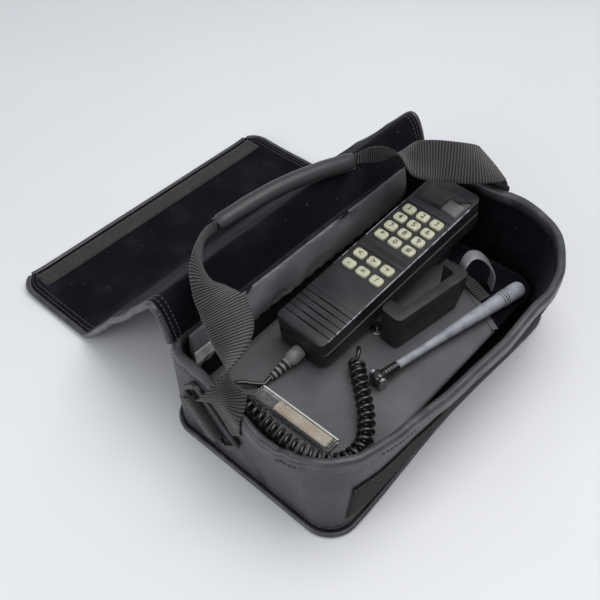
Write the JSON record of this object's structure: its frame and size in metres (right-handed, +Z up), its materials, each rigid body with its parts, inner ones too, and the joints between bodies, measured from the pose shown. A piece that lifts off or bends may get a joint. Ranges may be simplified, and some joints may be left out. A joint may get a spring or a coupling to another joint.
{
  "type": "cellular bag phone",
  "caption": "Cellular bag phone: a soft bag with a three-fold lid and carry strap, holding a handset on a curly cord, transceiver, battery, cup and antenna.",
  "frame": {"origin": "middle of the base, on the surface that the bag stands on", "axes": "+X along the hinge line to the display end of the handset, +Y towards the open lid, +Z up"},
  "size_m": [0.3751, 0.4447, 0.1768],
  "materials": {
    "leatherette": "satin",
    "binding": "matte",
    "hook_tape": "matte",
    "webbing": "matte",
    "black_plastic": "satin",
    "grey_rubber": "matte",
    "cord_rubber": "gloss",
    "key_plastic": "satin",
    "smoked_window": "gloss",
    "display_glass": "gloss",
    "clear_vinyl": "gloss",
    "card_stock": "matte",
    "steel": "satin",
    "board": "satin"
  },
  "bodies": {
    "bag": {"front_wall": "leatherette", "back_wall": "leatherette", "left_end": "leatherette", "right_end": "leatherette", "base_panel": "leatherette", "rim_binding": "binding", "bottom_piping": "binding", "loop_strip": "binding", "gathered_band": "leatherette", "inner_cover": "leatherette", "card_holder": "clear_vinyl", "card": "card_stock", "transceiver_case": "black_plastic", "transceiver_top": "black_plastic", "case_screws": "steel", "circuit_board": "board", "antenna_socket": "steel", "cord_gland": "black_plastic", "battery_pack": "black_plastic", "hang_up_cup": "black_plastic", "retaining_band": "leatherette"},
    "lid_rear_board": {"lid_rear": "leatherette"},
    "lid_top_board": {"lid_top": "leatherette"},
    "lid_front_board": {"lid_flap": "leatherette", "hook_strip": "hook_tape"},
    "rings": {"strap_rings": "black_plastic", "ring_tabs": "webbing"},
    "strap": {"strap_webbing": "webbing", "grip": "leatherette"},
    "handset": {"handset_front": "black_plastic", "handset_rear": "black_plastic", "display_window": "smoked_window", "display_panel": "display_glass", "keypad_mat": "grey_rubber", "handset_board": "board", "earpiece": "steel", "microphone": "black_plastic", "handset_screws": "steel", "cord_boot": "grey_rubber", "curly_cord": "cord_rubber"},
    "antenna": {"antenna_elbow": "black_plastic", "antenna_whip": "grey_rubber"},
    "key_1": {"key_1": "key_plastic"},
    "key_2": {"key_2": "key_plastic"},
    "key_3": {"key_3": "key_plastic"},
    "key_4": {"key_4": "key_plastic"},
    "key_5": {"key_5": "key_plastic"},
    "key_6": {"key_6": "key_plastic"},
    "key_7": {"key_7": "key_plastic"},
    "key_8": {"key_8": "key_plastic"},
    "key_9": {"key_9": "key_plastic"},
    "key_star": {"key_star": "key_plastic"},
    "key_0": {"key_0": "key_plastic"},
    "key_hash": {"key_hash": "key_plastic"},
    "function_key_1": {"function_key_1": "key_plastic"},
    "function_key_2": {"function_key_2": "key_plastic"},
    "function_key_3": {"function_key_3": "key_plastic"},
    "function_key_4": {"function_key_4": "key_plastic"},
    "function_key_5": {"function_key_5": "key_plastic"},
    "function_key_6": {"function_key_6": "key_plastic"}
  },
  "joints": [
    {"name": "lid_hinge", "type": "hinge", "parent": "bag", "child": "lid_rear_board", "pos_m": [0, 0.088, 0.106], "axis": [-1, 0, 0], "range_deg": [-83, 0]},
    {"name": "lid_fold", "type": "hinge", "parent": "lid_rear_board", "child": "lid_top_board", "pos_m": [0, 0.10011, 0.13454], "axis": [-1, 0, 0], "range_deg": [-146.33, 0.1]},
    {"name": "flap_fold", "type": "hinge", "parent": "lid_top_board", "child": "lid_front_board", "pos_m": [0, 0.22268, 0.0025], "axis": [-1, 0, 0], "range_deg": [-41.07, 0.1]},
    {"name": "ring_swing", "type": "hinge", "parent": "bag", "child": "rings", "pos_m": [0, 0.057, 0.038], "axis": [-1, 0, 0], "range_deg": [-12.2, 0.1]},
    {"name": "strap_swing", "type": "hinge", "parent": "rings", "child": "strap", "pos_m": [0, 0.02447, 0.07053], "axis": [-1, 0, 0], "range_deg": [-90, 0], "deforming": ["strap_webbing", "grip"]},
    {"name": "handset_lift", "type": "slide", "parent": "bag", "child": "handset", "axis": [0, 0, 1], "range_m": [0, 0.25], "deforming": ["curly_cord"]},
    {"name": "antenna_fold", "type": "hinge", "parent": "bag", "child": "antenna", "pos_m": [-0.049, -0.038, 0.0483], "axis": [-0.2011, -0.9796, 0], "range_deg": [0, 90]},
    {"name": "key_1_press", "type": "slide", "parent": "handset", "child": "key_1", "axis": [0.139, -0.0068, -0.9903], "range_m": [0, 0.0008], "stiffness_N_per_m": 400},
    {"name": "key_2_press", "type": "slide", "parent": "handset", "child": "key_2", "axis": [0.139, -0.0068, -0.9903], "range_m": [0, 0.0008], "stiffness_N_per_m": 400},
    {"name": "key_3_press", "type": "slide", "parent": "handset", "child": "key_3", "axis": [0.139, -0.0068, -0.9903], "range_m": [0, 0.0008], "stiffness_N_per_m": 400},
    {"name": "key_4_press", "type": "slide", "parent": "handset", "child": "key_4", "axis": [0.139, -0.0068, -0.9903], "range_m": [0, 0.0008], "stiffness_N_per_m": 400},
    {"name": "key_5_press", "type": "slide", "parent": "handset", "child": "key_5", "axis": [0.139, -0.0068, -0.9903], "range_m": [0, 0.0008], "stiffness_N_per_m": 400},
    {"name": "key_6_press", "type": "slide", "parent": "handset", "child": "key_6", "axis": [0.139, -0.0068, -0.9903], "range_m": [0, 0.0008], "stiffness_N_per_m": 400},
    {"name": "key_7_press", "type": "slide", "parent": "handset", "child": "key_7", "axis": [0.139, -0.0068, -0.9903], "range_m": [0, 0.0008], "stiffness_N_per_m": 400},
    {"name": "key_8_press", "type": "slide", "parent": "handset", "child": "key_8", "axis": [0.139, -0.0068, -0.9903], "range_m": [0, 0.0008], "stiffness_N_per_m": 400},
    {"name": "key_9_press", "type": "slide", "parent": "handset", "child": "key_9", "axis": [0.139, -0.0068, -0.9903], "range_m": [0, 0.0008], "stiffness_N_per_m": 400},
    {"name": "key_star_press", "type": "slide", "parent": "handset", "child": "key_star", "axis": [0.139, -0.0068, -0.9903], "range_m": [0, 0.0008], "stiffness_N_per_m": 400},
    {"name": "key_0_press", "type": "slide", "parent": "handset", "child": "key_0", "axis": [0.139, -0.0068, -0.9903], "range_m": [0, 0.0008], "stiffness_N_per_m": 400},
    {"name": "key_hash_press", "type": "slide", "parent": "handset", "child": "key_hash", "axis": [0.139, -0.0068, -0.9903], "range_m": [0, 0.0008], "stiffness_N_per_m": 400},
    {"name": "function_key_1_press", "type": "slide", "parent": "handset", "child": "function_key_1", "axis": [0.139, -0.0068, -0.9903], "range_m": [0, 0.0008], "stiffness_N_per_m": 400},
    {"name": "function_key_2_press", "type": "slide", "parent": "handset", "child": "function_key_2", "axis": [0.139, -0.0068, -0.9903], "range_m": [0, 0.0008], "stiffness_N_per_m": 400},
    {"name": "function_key_3_press", "type": "slide", "parent": "handset", "child": "function_key_3", "axis": [0.139, -0.0068, -0.9903], "range_m": [0, 0.0008], "stiffness_N_per_m": 400},
    {"name": "function_key_4_press", "type": "slide", "parent": "handset", "child": "function_key_4", "axis": [0.139, -0.0068, -0.9903], "range_m": [0, 0.0008], "stiffness_N_per_m": 400},
    {"name": "function_key_5_press", "type": "slide", "parent": "handset", "child": "function_key_5", "axis": [0.139, -0.0068, -0.9903], "range_m": [0, 0.0008], "stiffness_N_per_m": 400},
    {"name": "function_key_6_press", "type": "slide", "parent": "handset", "child": "function_key_6", "axis": [0.139, -0.0068, -0.9903], "range_m": [0, 0.0008], "stiffness_N_per_m": 400}
  ],
  "couplings": [
    {"joint": "lid_fold", "follows": "lid_hinge", "ratio": 1.7606},
    {"joint": "flap_fold", "follows": "lid_hinge", "ratio": 0.4924},
    {"joint": "ring_swing", "follows": "strap_swing", "ratio": 0.13333}
  ]
}
